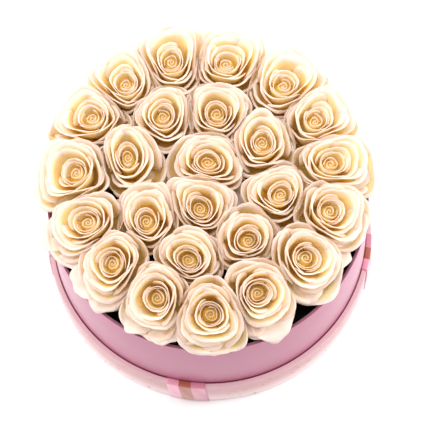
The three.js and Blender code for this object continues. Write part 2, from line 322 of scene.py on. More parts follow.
def colour(code, name, description):
    """A colour property whose default is an sRGB hex code."""
    return FloatVectorProperty(
        name=name, description=description, default=linear(code)[:3], subtype="COLOR", size=3, min=0, max=1
    )


def number(default, name, description, **more):
    """A property for a number that is never negative."""
    return FloatProperty(name=name, description=description, default=default, min=0, **more)


def length(millimetres, name, description):
    """A length property whose default is given in millimetres."""
    return number(millimetres * MM, name, description, unit="LENGTH", precision=5)


def whole(default, name, description, least=0):
    """A property for a whole number."""
    return IntProperty(name=name, description=description, default=default, min=least)


class BoardSettings(PropertyGroup):
    """The paper-covered boards of the box and its lid."""

    box_paper: colour("b05c7c", "Box paper", "Pink paper round the box body")
    # Partly a darker paper on the rim, partly painted shade: the same dusky tone darkens the inside of the
    # box and its bottom, under the roses.
    rim_paper: colour("7d4a5a", "Rim paper", "Dusky turn-in of the paper over the rim and inside")
    lid_paper: colour("cb989b", "Lid paper", "Paler pink paper round the lid")
    # Painted highlight: the rim's paper is paler than the lid paper, for the light that falls on the rim's
    # top.
    lid_edge: colour("e5bfc4", "Lid edge", "Paper over the lid's rim")
    # Painted shade: the maroon lining lies only in the narrow gap of the seam and on the inner rounding of
    # the lid's rim, so that the seam's shadow reads maroon.
    lid_lining: colour("c2305a", "Lid lining", "Maroon paper inside the lid, seen only in the seam")
    # Painted light: the lid paper is painted paler towards this tone at its foot.
    lid_foot: colour("f8e0e0", "Lid foot", "Tone that the lid paper pales to at its foot")
    foil: colour("cc8c3f", "Foil", "Gold foil flecks in the lid paper")
    fleck_density: number(3000, "Fleck density", "Flecks on a square metre")
    fleck_size: length(1.7, "Fleck size", "Radius of the largest foil fleck")
    fleck_seed: whole(4, "Fleck seed", "Which scatter of flecks is drawn")


class RibbonSettings(PropertyGroup):
    """The two striped satin ribbons."""

    width: length(32, "Width", "Width of the ribbon")
    thickness: length(0.35, "Thickness", "Thickness of the satin")
    first_stripe: colour("e59bb0", "First stripe", "Pink of one outer stripe")
    middle_stripe: colour("a8543c", "Middle stripe", "Coral of the middle stripe")
    last_stripe: colour("d08498", "Last stripe", "Deeper pink of the other outer stripe")
    stripe_from: number(0.31, "Stripe from", "Share of the width where the middle stripe starts", max=1)
    stripe_to: number(0.63, "Stripe to", "Share of the width where the middle stripe ends", max=1)


class RoseSettings(PropertyGroup):
    """The rose heads."""

    head_petals: whole(14, "Head petals", "Petals round the scroll", least=3)
    guard_petals: whole(5, "Guard petals", "Broad petals under the head", least=1)
    columns: whole(26, "Petal columns", "Faces across a petal", least=4)
    rows: whole(13, "Petal rows", "Faces from root to lip", least=4)
    thickness: length(0.28, "Petal thickness", "Thickness of a petal")
    # The lip's ivory is partly painted highlight, the depth's gold partly painted shade of the bloom's
    # recesses.
    lip: colour("fff4ec", "Lip", "Ivory of the rolled lips")
    belly: colour("fff4ca", "Belly", "Cream of a petal's middle")
    depth: colour("ffe886", "Depth", "Golden tone near a petal's root")
    seed: whole(11, "Seed", "Which draw of petals is made")


class GreenSettings(PropertyGroup):
    """The stems with their sepals, and the foam that holds them."""

    stem_radius: length(2.4, "Stem radius", "Radius of a rose stem")
    hip_radius: length(5, "Hip radius", "Radius of the green hip under a bloom")
    hip_length: length(7, "Hip length", "Length of the hip")
    sepals: whole(5, "Sepals", "Sepals under a bloom", least=3)
    sepal_length: length(24, "Sepal length", "How far a sepal reaches from the stem")
    sepal_width: length(7, "Sepal width", "Greatest width of a sepal")
    sepal_droop: length(6, "Sepal droop", "How far a sepal's tip hangs down")
    seed: whole(3, "Seed", "Which turn each stem's sepals have")
    stem: colour("5f7f3c", "Stem green", "Green of the stems and sepals")
    # Painted shade: the foam and the liner are near black, for the deep shade under the roses.
    foam: colour("141c14", "Foam", "Wet floral foam, seen deep in shade")
    liner: colour("1a1c1a", "Liner", "Waterproof film round the foam")


class StageSettings(PropertyGroup):
    """Floor and light."""

    floor: colour("ffffff", "Floor", "White table")
    sky: number(0.62, "Sky", "Strength of the even light")
    overhead: number(24, "Overhead", "Power of the overhead softbox", unit="POWER")
    left: number(26, "Left", "Power of the left softbox", unit="POWER")
    right: number(34, "Right", "Power of the right softbox", unit="POWER")


def add_node(tree, kind, inputs=None, **settings):
    """Adds a node. An input is set to its value, or linked to it if that is a socket, or a node, which gives
    its first output in use."""
    node = tree.nodes.new(kind)
    for name, value in settings.items():
        setattr(node, name, value)
    for key, value in (inputs or {}).items():
        if isinstance(value, bpy.types.Node):
            value = next(socket for socket in value.outputs if socket.enabled)
        if isinstance(value, bpy.types.NodeSocket):
            tree.links.new(value, node.inputs[key])
        else:
            node.inputs[key].default_value = value
    return node


def worked_out(tree, operation, *values):
    """The result of a math node."""
    return add_node(tree, "ShaderNodeMath", dict(enumerate(values)), operation=operation)


def vector_of(tree, **parts):
    """The vector with the given X, Y and Z."""
    return add_node(tree, "ShaderNodeCombineXYZ", parts)


def parts_of(tree, vector):
    """The X, Y and Z of a vector."""
    return add_node(tree, "ShaderNodeSeparateXYZ", {"Vector": vector}).outputs


def object_place(tree):
    """Places in the object's own axes."""
    return add_node(tree, "ShaderNodeTexCoord").outputs["Object"]


def own_map(tree, name):
    """The pairs of one of the piece's own maps."""
    return add_node(tree, "ShaderNodeUVMap", uv_map=name)


def stretched(tree, vector, scale):
    """A vector with each of its parts scaled."""
    return add_node(tree, "ShaderNodeMapping", {"Vector": vector, "Scale": scale})


def noise(tree, size, vector=None, **more):
    """A pattern of clouds about one size across, in the object's own axes unless a vector is given."""
    place = object_place(tree) if vector is None else vector
    return add_node(tree, "ShaderNodeTexNoise", {"Vector": place, "Scale": 1 / size, **more})


def risen(tree, value, start, end, low=0, high=1, kind="LINEAR"):
    """From low to high as a value comes from start to end."""
    inputs = {"Value": value, "From Min": start, "From Max": end, "To Min": low, "To Max": high}
    return add_node(tree, "ShaderNodeMapRange", inputs, interpolation_type=kind)


def mixed(tree, share, low, high):
    """A colour a share of the way from low to high."""
    return add_node(tree, "ShaderNodeMix", {"Factor": share, "A": low, "B": high}, data_type="RGBA")


def bumped(tree, height, strength, millimetres):
    """The normal of a surface with a fine relief of so many millimetres."""
    inputs = {"Height": height, "Strength": strength, "Distance": millimetres * MM}
    return add_node(tree, "ShaderNodeBump", inputs)


def new_material(name, make_surface, *values, **more):
    """A node material with the surface that a function makes of its values."""
    material = bpy.data.materials.new(name)
    material.use_nodes = True
    tree = material.node_tree
    tree.nodes.clear()
    add_node(tree, "ShaderNodeOutputMaterial", {"Surface": make_surface(tree, *values, **more)})
    return material


def rgba(value, share=1):
    """A colour, its light multiplied by a share, with its alpha."""
    return (*[channel * share for channel in value], 1.0)


def glossed(tree, shader, share, falloff):
    """A shader under a thin gloss that shows only at a low angle."""
    facing = add_node(tree, "ShaderNodeLayerWeight", {"Blend": 0.5}).outputs["Facing"]
    amount = worked_out(tree, "MULTIPLY", worked_out(tree, "POWER", facing, falloff), share)
    gloss = add_node(tree, "ShaderNodeBsdfAnisotropic", {"Color": (1, 1, 1, 1), "Roughness": 0.3})
    return add_node(tree, "ShaderNodeMixShader", {"Fac": amount, 1: shader, 2: gloss})


def patterned(tree, pattern, tone, shades, relief, **finish):
    """A surface whose shade of one tone and whose (strength, millimetres) of relief follow a pattern."""
    low, high = (rgba(tone, shade) for shade in shades)
    return add_node(tree, "ShaderNodeBsdfPrincipled", {
        "Base Color": mixed(tree, pattern, low, high), "Normal": bumped(tree, pattern, *relief), **finish,
    })


def wrapping_paper(tree, tone, deepening, foot=None, gloss=0.5):
    """Coated wrapping paper glued over board: matt, glossy at a low angle, with a faint mottle of the pulp
    and a slight orange-peel from the glue under it. With a foot tone it is painted paler downwards, as
    painted light."""
    mottle = noise(tree, 26 * MM, Detail=4.0, Roughness=0.6)
    tint = mixed(tree, mottle, rgba(tone), rgba(tone, deepening))
    # Painted light: below a height the paper is painted paler, towards the foot tone.
    if foot is not None:
        height = parts_of(tree, object_place(tree))["Z"]
        low = risen(tree, height, PAINTED_LIGHT_FROM * MM, PAINTED_LIGHT_TO * MM, kind="SMOOTHSTEP")
        tint = mixed(tree, low, tint, rgba(foot))
    # The peel is about 0.9 mm across.
    peel = noise(tree, 0.9 * MM, Detail=3.0, Roughness=0.55)
    shader = add_node(tree, "ShaderNodeBsdfPrincipled", {
        "Base Color": tint, "Roughness": risen(tree, peel, 0, 1, low=0.36, high=0.46), "IOR": 1.5,
        "Specular IOR Level": 0.2, "Normal": bumped(tree, peel, strength=0.12, millimetres=0.15),
    })
    return glossed(tree, shader, share=gloss, falloff=5)


def gold_foil(tree, tone):
    """Hot-stamped gold foil: thin, bright and a little crumpled."""
    crumple = noise(tree, 0.8 * MM, Detail=2.0)
    return patterned(tree, crumple, tone, shades=(1, 0.7), relief=(0.4, 0.1), Metallic=0.35, Roughness=0.45)


def striped_satin(tree, settings):
    """Satin ribbon woven in three stripes: fine lengthwise floats give it a soft sheen."""
    own = own_map(tree, "ribbon")
    across = parts_of(tree, own)["X"]
    after = risen(tree, across, settings.stripe_from - STRIPE_BLUR, settings.stripe_from + STRIPE_BLUR)
    before = risen(tree, across, settings.stripe_to + STRIPE_BLUR, settings.stripe_to - STRIPE_BLUR)
    first_two = mixed(tree, after, rgba(settings.first_stripe), rgba(settings.middle_stripe))
    # The floats lie along the ribbon, drawn coarser than the real 0.1 mm so that they show.
    spread = (settings.width / (FLOAT_SPACING * MM), FLOATS_ALONG, 1)
    floats = noise(tree, 1, stretched(tree, own, spread), Detail=2.0)
    shader = add_node(tree, "ShaderNodeBsdfPrincipled", {
        "Base Color": mixed(tree, before, rgba(settings.last_stripe), first_two), "Roughness": 0.34,
        "IOR": 1.5, "Anisotropic": 0.5, "Sheen Weight": 0.35, "Sheen Roughness": 0.3,
        "Normal": bumped(tree, floats, strength=0.2, millimetres=0.05),
    })
    return glossed(tree, shader, share=0.3, falloff=6)


def rose_petal(tree, settings):
    """Petal skin: golden at the root and in the bud, ivory on the lip and on the outer petals, thin enough
    to let light through, with faint veins from root to lip. The golden root is partly painted shade of the
    bloom's recesses, the ivory lip partly painted highlight."""
    own = own_map(tree, "petal")
    openness = parts_of(tree, own_map(tree, "bloom"))["X"]
    cloud = noise(tree, 14 * MM, Detail=3.0)
    clouded = worked_out(tree, "MULTIPLY_ADD", cloud, CLOUD_SHARE, parts_of(tree, own)["Y"])
    opened = worked_out(tree, "MULTIPLY_ADD", openness, OPENNESS_SHARE, clouded)
    ramp = add_node(tree, "ShaderNodeValToRGB", {"Fac": worked_out(tree, "MULTIPLY", opened, TONE_STRETCH)})
    ramp.color_ramp.interpolation = "EASE"
    tones = ramp.color_ramp.elements
    tones.new(TONE_PLACES["belly"])
    for tone, (name, place) in zip(tones, TONE_PLACES.items()):
        tone.position = place
        tone.color = rgba(getattr(settings, name))
    # The veins are about 0.7 mm apart on a broad petal.
    veins = noise(tree, 1, stretched(tree, own, (VEINS_ACROSS, VEINS_ALONG, 1)), Detail=3.0, Roughness=0.6)
    shader = add_node(tree, "ShaderNodeBsdfPrincipled", {
        "Base Color": ramp, "Roughness": 0.62, "IOR": 1.4, "Specular IOR Level": 0.25,
        "Sheen Weight": 0.15, "Sheen Roughness": 0.5,
        "Normal": bumped(tree, veins, strength=0.5, millimetres=0.45),
    })
    through = add_node(tree, "ShaderNodeBsdfTranslucent", {"Color": ramp})
    return add_node(tree, "ShaderNodeMixShader", {"Fac": 0.5, 1: shader, 2: through})


def leaf_green(tree, tone):
    """Stem and sepal skin: waxy green with lighter flecks and a grain along the stem."""
    mottle = noise(tree, 4 * MM, stretched(tree, object_place(tree), (1, 1, STEM_GRAIN)), Detail=4.0)
    return patterned(tree, mottle, tone, shades=(0.6, 1.4), relief=(0.3, 0.3), Roughness=0.5, IOR=1.42)


def floral_foam(tree, tone):
    """Wet phenolic foam: fine open cells, in a near-black tone that paints the deep shade under the roses.
    The cells are about 0.2 mm wide; drawn at 0.8 mm so that they show."""
    cells = add_node(tree, "ShaderNodeTexVoronoi", {"Vector": object_place(tree), "Scale": 1 / (0.8 * MM)})
    return patterned(tree, cells, tone, shades=(0.5, 1.6), relief=(0.6, 0.4), Roughness=0.95)


def liner_film(tree, tone):
    """Polyethylene film: thin, soft-glossy, with slack wrinkles, in a near-black tone that paints the deep
    shade under the roses.
    """
    wrinkles = noise(tree, 9 * MM, Detail=2.0, Distortion=1.2)
    return patterned(tree, wrinkles, tone, shades=(1, 1.5), relief=(0.5, 0.8), Roughness=0.3, IOR=1.51)


def table_paint(tree, tone):
    """Matt white paint with a very faint haze, about a third of a metre across."""
    tint = mixed(tree, noise(tree, 1 / 3), rgba(tone), rgba(tone, share=0.98))
    return add_node(tree, "ShaderNodeBsdfPrincipled", {"Base Color": tint, "Roughness": 0.8})


def new_object(name, points, faces, materials, maps=None, face_material=None):
    """A smooth-shaded mesh object. points are in millimetres; maps are {name: one pair for each point}."""
    mesh = bpy.data.meshes.new(name)
    if isinstance(faces, np.ndarray):
        faces = faces.tolist()
    mesh.from_pydata((np.asarray(points) * MM).tolist(), [], faces)
    for material in materials:
        mesh.materials.append(material)
    mesh.shade_smooth()
    if face_material is not None:
        mesh.polygons.foreach_set("material_index", face_material)
    corners = np.empty(len(mesh.loops), dtype=np.int32)
    mesh.loops.foreach_get("vertex_index", corners)
    for map_name, pairs in (maps or {}).items():
        layer = mesh.uv_layers.new(name=map_name)
        layer.data.foreach_set("uv", np.asarray(pairs, dtype=np.float32)[corners].ravel())
    mesh.update()
    return linked(name, mesh)


def linked(name, data):
    """A new object of the scene with its data."""
    thing = bpy.data.objects.new(name, data)
    bpy.context.scene.collection.objects.link(thing)
    return thing


def thicken(piece, thickness):
    """Gives a sheet its thickness, half to each side."""
    solid = piece.modifiers.new("thickness", "SOLIDIFY")
    solid.thickness = thickness
    solid.offset = 0


def settle(piece, slot, *nodes):
    """Makes a piece part of the object: it rides on the one body and stands for its CAD nodes."""
    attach(piece, "root")
    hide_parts(*nodes)


def dress(node, material):
    """Gives a CAD node that stays its finish."""
    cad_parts[node].data.materials.clear()
    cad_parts[node].data.materials.append(material)


def give_tree(thing, tree, settings):
    """Puts a geometry node tree on an object. Each input takes the setting of its own name."""
    modifier = thing.modifiers.new(tree.name, "NODES")
    modifier.node_group = tree
    for item in tree.interface.items_tree:
        if item.in_out == "INPUT" and item.name != "Geometry":
            modifier[item.identifier] = getattr(settings, item.name.lower().replace(" ", "_"))


def made_plain(thing, name):
    """The evaluated result of an object's modifiers as a plain mesh in a new object that takes its place."""
    evaluated = thing.evaluated_get(bpy.context.evaluated_depsgraph_get())
    mesh = bpy.data.meshes.new_from_object(evaluated)
    bpy.data.objects.remove(thing)
    mesh.name = name
    return linked(name, mesh)


def new_tree(name, numbers, wholes):
    """A geometry node tree with inputs named for its settings, and the outputs of its input node."""
    tree = bpy.data.node_groups.new(name, "GeometryNodeTree")
    kinds = {"Geometry": "Geometry", **dict.fromkeys(numbers, "Float"), **dict.fromkeys(wholes, "Int")}
    for label, kind in kinds.items():
        tree.interface.new_socket(label, in_out="INPUT", socket_type=f"NodeSocket{kind}")
    tree.interface.new_socket("Geometry", in_out="OUTPUT", socket_type="NodeSocketGeometry")
    return tree, add_node(tree, "NodeGroupInput").outputs


def end_tree(tree, instances, material):
    """Ends a geometry node tree in real geometry of one material."""
    real = add_node(tree, "GeometryNodeRealizeInstances", {"Geometry": instances})
    done = add_node(tree, "GeometryNodeSetMaterial", {"Geometry": real, "Material": material})
    add_node(tree, "NodeGroupOutput", {"Geometry": done})
    return tree


def set_out(tree, points, instance, **more):
    """Instances of one geometry on points."""
    return add_node(tree, "GeometryNodeInstanceOnPoints", {"Points": points, "Instance": instance, **more})


def joined(tree, *geometries):
    """The geometries of several nodes as one."""
    join = add_node(tree, "GeometryNodeJoinGeometry")
    for geometry in geometries:
        tree.links.new(geometry.outputs[0], join.inputs["Geometry"])
    return join


def turned_corner(before, corner, after, radius, steps):
    """Points of a smooth turn at the corner of a line, which begins and ends a radius away from it."""
    start = corner + (before - corner) / np.linalg.norm(before - corner) * radius
    end = corner + (after - corner) / np.linalg.norm(after - corner) * radius
    share = np.linspace(0, 1, steps + 1)[:, None]
    return (1 - share) ** 2 * start + 2 * share * (1 - share) * corner + share ** 2 * end


def rings(line):
    """Rings of points round +Z through the (radius, height) points of a line."""
    angle = np.linspace(0, 2 * np.pi, ROUND_SIDES, endpoint=False)
    return np.concatenate([
        np.stack([radius * np.cos(angle), radius * np.sin(angle), np.full(ROUND_SIDES, height)], axis=1)
        for radius, height in line
    ])


def ring_faces(count):
    """Faces between rings that follow each other, so many times, outwards where the rings rise."""
    i = np.arange(ROUND_SIDES)
    after = (i + 1) % ROUND_SIDES
    band = np.stack([i, after, after + ROUND_SIDES, i + ROUND_SIDES], axis=1)
    return np.concatenate([band + level * ROUND_SIDES for level in range(count)])


def board_wall(radius, wall, foot, rim, edge_round):
    """Points, faces and face middles of a round board wall with rounded edges, and each middle's distance
    from the axis."""
    inner = radius - wall
    section = np.array([(inner, foot), (radius, foot), (radius, rim), (inner, rim)], dtype=float)
    line = np.concatenate([
        turned_corner(section[i - 1], corner, section[(i + 1) % len(section)], edge_round, CORNER_STEPS)
        for i, corner in enumerate(section)
    ])
    points = rings(line)
    faces = ring_faces(len(line)) % len(points)
    middles = points[faces].mean(axis=1)
    return points, faces, middles, np.hypot(middles[:, 0], middles[:, 1])


class HATBOX_OT_stage(Operator):
    """Place the camera, the white table and the soft light"""

    bl_idname = "hatbox.stage"
    bl_label = "Stage"

    def execute(self, context):
        settings = context.scene.hatbox_stage
        camera = linked("camera", bpy.data.cameras.new("camera"))
        context.scene.camera = camera
        back = Vector((0, -math.cos(CAMERA_ELEVATION), math.sin(CAMERA_ELEVATION)))
        level = Vector((1, 0, 0))
        right = level * math.cos(CAMERA_ROLL) + back.cross(level) * math.sin(CAMERA_ROLL)
        turn = Matrix((right, back.cross(right), back)).transposed().to_4x4()
        camera.matrix_world = Matrix.Translation(CAMERA_AIM + back * CAMERA_DISTANCE) @ turn
        camera.data.sensor_width = CAMERA_SENSOR
        camera.data.lens = CAMERA_LENS
        camera.data.clip_end = CAMERA_FAR
        context.scene.view_settings.view_transform = "Standard"
        # Light that finds its way down between the petals passes many of them.
        context.scene.cycles.diffuse_bounces = LIGHT_BOUNCES
        context.scene.cycles.max_bounces = LIGHT_BOUNCES

        corners = [(x * TABLE_HALF, y * TABLE_HALF, 0) for x, y in ((-1, -1), (1, -1), (1, 1), (-1, 1))]
        white = new_material("table_white", table_paint, settings.floor)
        new_object("table", corners, [(0, 1, 2, 3)], [white])

        world = bpy.data.worlds.new("studio")
        world.use_nodes = True
        world.node_tree.nodes["Background"].inputs["Color"].default_value = (1, 1, 1, 1)
        world.node_tree.nodes["Background"].inputs["Strength"].default_value = settings.sky
        context.scene.world = world
        for name, (place, size) in SOFTBOXES.items():
            softbox = linked(f"softbox_{name}", bpy.data.lights.new(f"softbox_{name}", "AREA"))
            softbox.data.shape = "DISK"
            softbox.data.size = size
            softbox.data.energy = getattr(settings, name)
            softbox.location = place
            softbox.rotation_mode = "QUATERNION"
            softbox.rotation_quaternion = (softbox.location - CAMERA_AIM).to_track_quat("Z", "Y")
        return {"FINISHED"}


class HATBOX_OT_box(Operator):
    """Make the box body of paper-covered board"""

    bl_idname = "hatbox.box"
    bl_label = "Box body"

    def execute(self, context):
        settings = context.scene.hatbox_boards
        outside = new_material("pink_wrapping_paper", wrapping_paper, settings.box_paper, deepening=0.9)
        inside = new_material("dusky_turn_in_paper", wrapping_paper, settings.rim_paper, deepening=0.8)
        points, faces, middles, from_axis = board_wall(BOX_RADIUS, BOX_WALL, BOX_FOOT, BOX_RIM, EDGE_ROUND)
        # The turn-in starts on top of the rim. Its dusky tone is partly a darker paper on the rim and partly
        # painted shade down the inside of the box.
        turn_in_and_painted_shade = (from_axis < BOX_RADIUS - EDGE_ROUND / 2) & (middles[:, 2] > TURN_IN_FOOT)
        piece = new_object("box_body", points, faces, [outside, inside], face_material=turn_in_and_painted_shade.astype(int))
        settle(piece, "box_paper", "box_wall")
        # Painted shade: the box bottom takes the dusky paper too.
        dress("box_bottom", inside)
        return {"FINISHED"}


def fleck_tree(material):
    """Geometry nodes that scatter flat foil flecks over a surface and give only the flecks."""
    tree, given = new_tree("foil_flecks", ("Fleck Density", "Fleck Size"), ("Fleck Seed",))
    spots = add_node(tree, "GeometryNodeDistributePointsOnFaces", {
        "Mesh": given["Geometry"], "Density": given["Fleck Density"], "Seed": given["Fleck Seed"],
    })
    lift = {0: spots.outputs["Normal"], "Scale": FLECK_LIFT * MM}
    off = add_node(tree, "ShaderNodeVectorMath", lift, operation="SCALE")
    raised = add_node(tree, "GeometryNodeSetPosition", {"Geometry": spots, "Offset": off})
    flake = add_node(
        tree, "GeometryNodeMeshCircle", {"Vertices": 6, "Radius": given["Fleck Size"]}, fill_type="NGON"
    )
    sizes = {"Min": (0.35, 0.35, 1), "Max": (1, 1, 1), "Seed": given["Fleck Seed"]}
    size = add_node(tree, "FunctionNodeRandomValue", sizes, data_type="FLOAT_VECTOR")
    placed = set_out(tree, raised, flake, Rotation=spots.outputs["Rotation"], Scale=size)
    return end_tree(tree, placed, material)


class HATBOX_OT_lid(Operator):
    """Make the upturned lid of paper-covered board, with its foil flecks"""

    bl_idname = "hatbox.lid"
    bl_label = "Lid"

    def execute(self, context):
        settings = context.scene.hatbox_boards
        paper = new_material(
            "pale_pink_wrapping_paper", wrapping_paper, settings.lid_paper, deepening=0.93,
            foot=settings.lid_foot,
        )
        edge = new_material("lid_edge_paper", wrapping_paper, settings.lid_edge, deepening=0.9)
        lining = new_material(
            "maroon_lining_paper", wrapping_paper, settings.lid_lining, deepening=0.8, gloss=0
        )
        points, faces, middles, from_axis = board_wall(
            LID_RADIUS, LID_WALL, LID_FOOT, LID_RIM, LID_EDGE_ROUND
        )
        # Painted highlight: the rim's top takes the paler edge paper.
        on_rim_painted_highlight = middles[:, 2] > LID_RIM - LID_EDGE_ROUND
        above_foot = middles[:, 2] > LID_FOOT + LID_EDGE_ROUND
        # Painted shade: the lining colours the inside of the seam maroon.
        inside = (from_axis < LID_RADIUS - LID_WALL + LID_EDGE_ROUND) & above_foot
        papers = np.where(inside, 2, on_rim_painted_highlight)
        wall = new_object("lid_body", points, faces, [paper, edge, lining], face_material=papers)
        settle(wall, "lid_paper", "lid_wall")

        side = [
            (PANEL_RADIUS - PANEL_ROUND, PANEL_FOOT), (PANEL_RADIUS, PANEL_FOOT + PANEL_ROUND),
            (PANEL_RADIUS, PANEL_TOP - PANEL_ROUND), (PANEL_RADIUS - PANEL_ROUND, PANEL_TOP),
        ]
        points = np.concatenate([rings(side), [(0, 0, PANEL_FOOT), (0, 0, PANEL_TOP)]])
        faces = ring_faces(len(side) - 1).tolist()
        top = (len(side) - 1) * ROUND_SIDES
        for i in range(ROUND_SIDES):
            after = (i + 1) % ROUND_SIDES
            faces.append((after, i, len(points) - 2))
            faces.append((top + i, top + after, len(points) - 1))
        panel = new_object("lid_panel_board", points, faces, [paper])
        panel.data.set_sharp_from_angle(angle=SHARP_ANGLE)
        settle(panel, "lid_paper", "lid_panel")

        foil = new_material("gold_foil", gold_foil, settings.foil)
        band = rings([(LID_RADIUS, LID_FOOT + FLECK_MARGIN), (LID_RADIUS, LID_RIM - FLECK_MARGIN)])
        ground = new_object("fleck_ground", band, ring_faces(1), [foil])
        give_tree(ground, fleck_tree(foil), settings)
        flecks = made_plain(ground, "foil_flecks")
        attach(flecks, "root")
        return {"FINISHED"}


class HATBOX_OT_foam(Operator):
    """Finish the floral foam and the film that it stands in"""

    bl_idname = "hatbox.foam"
    bl_label = "Foam and liner"

    def execute(self, context):
        settings = context.scene.hatbox_greens
        dress("floral_foam", new_material("wet_floral_foam", floral_foam, settings.foam))
        dress("foam_liner", new_material("polyethylene_film", liner_film, settings.liner))
        return {"FINISHED"}


def ribbon_end(thickness):
    """The half section of one ribbon end, from under the lid, up its wall, over its edge and down inside, as
    evenly stepped (radius, height) points of the ribbon's middle."""
    half = thickness / 2 / MM
    outside = LID_RADIUS + RIBBON_GAP + half
    inside = LID_RADIUS - LID_WALL - RIBBON_GAP / 2 - half
    top = LID_RIM + RIBBON_GAP + half
    corners = np.array([
        (outside - RIBBON_FOOT_RUN, half), (outside, half), (outside, top), (inside, top),
        (inside, LID_RIM - RIBBON_TUCK),
    ])
    turns = [
        turned_corner(*corners[i:i + 3], RIBBON_BEND, RIBBON_BEND_STEPS) for i in range(len(corners) - 2)
    ]
    line = np.concatenate([corners[:1], *turns, corners[-1:]])
    fine = [line[0]]
    for before, after in zip(line, line[1:]):
        steps = max(1, round(float(np.linalg.norm(after - before)) / RIBBON_STEP))
        fine.extend(before + (after - before) * k / steps for k in range(1, steps + 1))
    return np.array(fine)


def ribbon_lane(end, azimuth, turn, slant, across, width):
    """One end of a ribbon's lane, so far across it. The loose ribbon stands a little off the wall."""
    run = np.cumsum(np.hypot(*np.diff(end, axis=0, prepend=end[:1]).T))
    slant = math.radians(slant)
    round_by = turn * (across / math.cos(slant) - math.tan(slant) * run)
    angle = math.radians(azimuth) + round_by / LID_RADIUS
    height = np.clip(end[:, 1] / LID_RIM, 0, 1)
    loose = np.sin(np.pi * height) * (end[:, 0] > LID_RADIUS)
    bulge = RIBBON_BULGE * (1 - (2 * across / width) ** 2)
    ripple = RIBBON_RIPPLE * np.sin(RIPPLE_ACROSS * across + RIPPLE_UP * height)
    radius = end[:, 0] + (bulge + ripple) * loose
    return np.stack([radius * np.cos(angle), radius * np.sin(angle), end[:, 1]], axis=1)


def grid_faces(rows, columns, start=0):
    """Faces of a grid with so many rows and columns of points."""
    i, j = np.meshgrid(np.arange(rows - 1), np.arange(columns - 1), indexing="ij")
    base = start + i * columns + j
    return np.stack([base, base + 1, base + columns + 1, base + columns], axis=2).reshape(-1, 4)


def lay_ribbon(name, course, settings, satin):
    """One ribbon: up the lid's wall at both ends of its course and straight under the lid between them."""
    width = settings.width / MM
    end = ribbon_end(settings.thickness)
    shares = np.linspace(0, 1, RIBBON_UNDER_STEPS + 1)[1:-1]
    lanes = []
    for column in range(RIBBON_COLUMNS + 1):
        across = width * (column / RIBBON_COLUMNS - 0.5)
        first, last = (
            ribbon_lane(end, azimuth, turn, slant, across, width)
            for azimuth, turn, slant in zip(course["ends"], (1, -1), course["slants"])
        )
        under = first[0] + (last[0] - first[0]) * shares[:, None]
        if course["lifts"]:
            under[:, 2] += np.interp(shares, *zip(*course["lifts"]))
        lanes.append(np.concatenate([first[::-1], under, last]))
    lanes = np.array(lanes)
    count = lanes.shape[1]
    run = np.cumsum(np.linalg.norm(np.diff(lanes[RIBBON_COLUMNS // 2], axis=0), axis=1))
    cut = float(run[-1])
    share_across = np.repeat(np.linspace(0, 1, RIBBON_COLUMNS + 1), count)
    share_along = np.tile(np.concatenate([[0], run]) / cut, RIBBON_COLUMNS + 1)
    piece = new_object(
        name + "_satin", lanes.reshape(-1, 3), grid_faces(RIBBON_COLUMNS + 1, count), [satin],
        {"ribbon": np.stack([share_across, share_along], axis=1)},
    )
    thicken(piece, settings.thickness)
    settle(piece, "satin_ribbon", name)


class HATBOX_OT_ribbons(Operator):
    """Lay the two satin ribbons under the lid and over its edge"""

    bl_idname = "hatbox.ribbons"
    bl_label = "Ribbons"

    def execute(self, context):
        settings = context.scene.hatbox_ribbons
        satin = new_material("striped_satin", striped_satin, settings)
        for name, course in RIBBONS.items():
            lay_ribbon(name, course, settings, satin)
        return {"FINISHED"}


def lerp(low, high, share):
    """The value a share of the way from low to high."""
    return low + (high - low) * share


def smooth(share):
    """An even start and stop between 0 and 1."""
    share = np.clip(share, 0, 1)
    return share * share * (3 - 2 * share)


def waves(kinds, across, phase):
    """Sine waves laid over each other, each of a size, a number of turns and one of the phases."""
    return sum(size * np.sin(turns * across + phase[which]) for size, turns, which in kinds)


def place_roses():
    """Where each rose stands: its axis, its foot, the middle of its cell, and how it is drawn out."""
    roses = []
    for ring, values in RINGS.items():
        for index, (azimuth, radius, stretch, toward, recess) in enumerate(values["roses"]):
            back = math.sin(math.radians(azimuth))
            out = Vector((math.cos(math.radians(azimuth)), back, 0))
            lean = math.radians(values["lean"] - LEAN_TO_FRONT * back)
            axis = out * math.sin(lean) + UP * math.cos(lean)
            eye = out * radius + UP * values["eye"]
            foot = eye - axis * EYE_HEIGHT
            # The stem keeps the ring's own lean; the head turns a little on it towards the front.
            stem_lean = math.radians(STEM_LEAN if ring == "outer" else values["lean"])
            stem_axis = out * math.sin(stem_lean) + UP * math.cos(stem_lean)
            roses.append({
                "label": f"{ring}_{index + 1:02d}",
                "foot": np.array(foot),
                "stem_axis": np.array(stem_axis),
                "stem_foot": np.array(eye - stem_axis * EYE_HEIGHT),
                "middle": np.array(foot + axis * CELL_MIDDLE * EYE_HEIGHT),
                "guard": azimuth + GUARD_SWING * math.sin(GUARD_SWING_TURN * index),
                "stretch": stretch,
                "largest": values["largest"] + BACK_SPREAD * smooth(back + BACK_SPREAD_FROM),
                "toward": math.radians(toward),
                "recess": math.radians(recess),
                "reach": REACH + REACH_TO_BACK * back,
                "turn": np.array(UP.rotation_difference(axis).to_matrix()),
            })
    return roses


